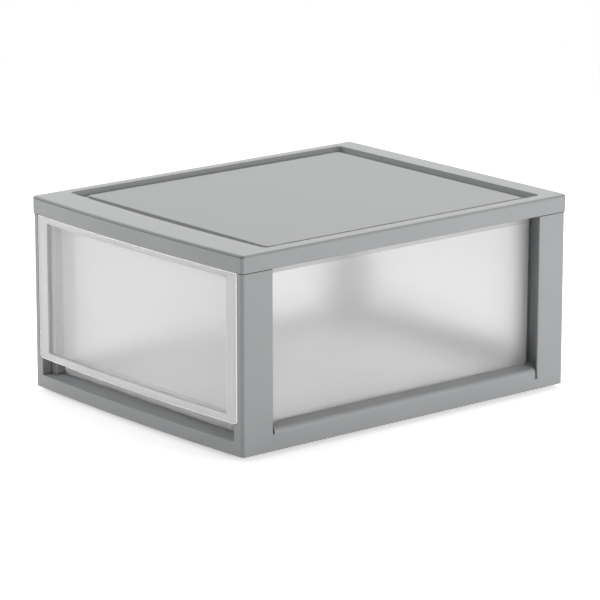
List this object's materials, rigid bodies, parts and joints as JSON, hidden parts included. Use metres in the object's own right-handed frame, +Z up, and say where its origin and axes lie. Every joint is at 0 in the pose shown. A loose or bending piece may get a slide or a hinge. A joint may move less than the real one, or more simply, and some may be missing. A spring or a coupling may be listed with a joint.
{
  "type": "stackable drawer box",
  "caption": "Stackable storage box: an open-sided snap-together frame with a grooved top carries a frosted drawer that slides out at the front up to its stops.",
  "frame": {"origin": "middle of the footprint, on the surface that the box stands on", "axes": "+Z up; +Y from the drawer front towards the back, so the drawer opens along -Y; +X to the right when facing the drawer front"},
  "size_m": [0.398, 0.5, 0.238],
  "materials": {
    "frame_plastic": "satin moulded grey polypropylene",
    "tub_plastic": "frosted natural polypropylene",
    "front_plastic": "frosted natural polypropylene with a polished rim"
  },
  "bodies": {
    "frame": {"top_panel": "frame_plastic", "front_frame": "frame_plastic", "rear_frame": "frame_plastic", "left_side_rail": "frame_plastic", "right_side_rail": "frame_plastic"},
    "drawer": {"drawer_tub": "tub_plastic", "drawer_front": "front_plastic"}
  },
  "joints": [
    {"name": "drawer_slide", "type": "slide", "parent": "frame", "child": "drawer", "axis": [0, -1, 0], "range_m": [0, 0.35]}
  ]
}
